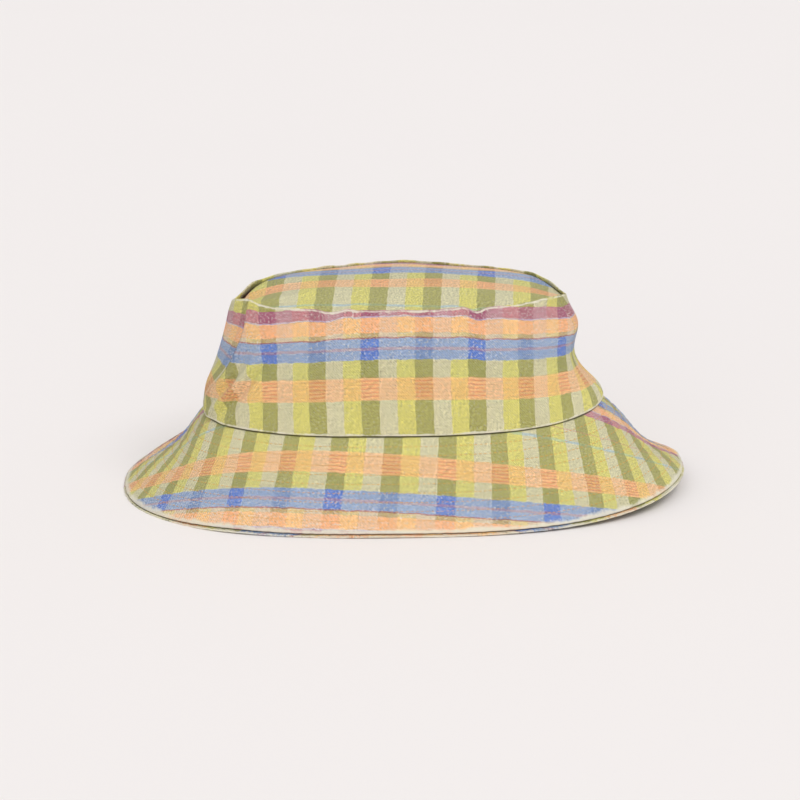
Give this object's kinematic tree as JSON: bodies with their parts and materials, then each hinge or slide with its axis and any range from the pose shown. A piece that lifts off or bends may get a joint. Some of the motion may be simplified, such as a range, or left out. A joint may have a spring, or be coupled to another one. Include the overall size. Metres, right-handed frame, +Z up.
{
  "type": "bucket hat",
  "caption": "Lined patchwork-plaid cloth bucket hat: domed oval tip, sloping crown side, wide stitched downturned brim, sweatband and a hanging care label.",
  "frame": {"origin": "on the floor under the middle of the hat, which stands on the edge of its brim", "axes": "+Z up through the tip, +X from side to side, -Y towards the front of the hat"},
  "size_m": [0.338, 0.208, 0.124],
  "materials": {
    "shell_cloth": "matte",
    "interlining": "matte",
    "thread": "matte",
    "lining": "matte",
    "sweatband": "matte",
    "label": "satin"
  },
  "bodies": {
    "hat": {"brim_interlining_back": "interlining", "brim_interlining_front": "interlining", "brim_stitching": "thread", "brim_under_back": "shell_cloth", "brim_under_front": "shell_cloth", "brim_upper_back": "shell_cloth", "brim_upper_front": "shell_cloth", "crown_side_back": "shell_cloth", "crown_side_front": "shell_cloth", "crown_tip": "shell_cloth", "lining_label": "label", "lining_side_back": "lining", "lining_side_front": "lining", "lining_tip": "lining", "sweatband": "sweatband", "sweatband_stitching": "thread"},
    "care_label_flap": {"care_label": "label"}
  },
  "joints": [
    {"name": "care_label_swing", "type": "hinge", "parent": "hat", "child": "care_label_flap", "pos_m": [0, 0.04999, 0.08], "axis": [-1, 0, 0], "range_deg": [-8, 150]}
  ]
}
